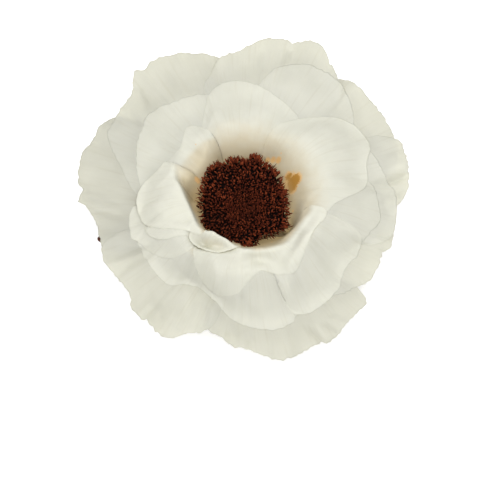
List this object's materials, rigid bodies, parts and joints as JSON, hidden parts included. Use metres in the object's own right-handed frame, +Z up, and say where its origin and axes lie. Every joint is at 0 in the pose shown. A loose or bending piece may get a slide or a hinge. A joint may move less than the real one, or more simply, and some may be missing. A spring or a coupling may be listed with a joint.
{
  "type": "anemone flower",
  "caption": "Open anemone flower head with overlapping whorls of thin petals round a bristly domed centre, on a small calyx with long pointed sepals and a flat cut base.",
  "frame": {"origin": "middle of the flat cut face under the calyx, which rests on the surface", "axes": "+Z up the flower's axis, out of the brown centre; -Y is the side that is nearest the viewer of the picture"},
  "size_m": [0.0756, 0.0736, 0.0264],
  "materials": {
    "petal_white": "matte",
    "stamen_brown": "matte",
    "calyx_brown": "satin"
  },
  "bodies": {
    "root": {"calyx": "calyx_brown", "centre_stamens": "stamen_brown", "petal_outer_right_upper": "petal_white", "petal_outer_bottom": "petal_white", "petal_outer_left": "petal_white", "petal_outer_bottom_left": "petal_white", "petal_outer_right_lower": "petal_white", "petal_outer_top_left": "petal_white", "petal_outer_right": "petal_white", "petal_outer_top": "petal_white", "petal_middle_bottom_left": "petal_white", "petal_middle_bottom": "petal_white", "petal_middle_right": "petal_white", "petal_middle_top_right": "petal_white", "petal_middle_top_left": "petal_white", "petal_middle_right_low": "petal_white", "petal_middle_bottom_right": "petal_white", "petal_inner_left_low": "petal_white", "petal_inner_top": "petal_white", "petal_inner_top_left": "petal_white", "petal_inner_right": "petal_white", "petal_inner_bottom": "petal_white", "petal_inner_fold_outer": "petal_white", "petal_inner_fold_inner": "petal_white", "petal_inner_left": "petal_white"}
  },
  "joints": []
}
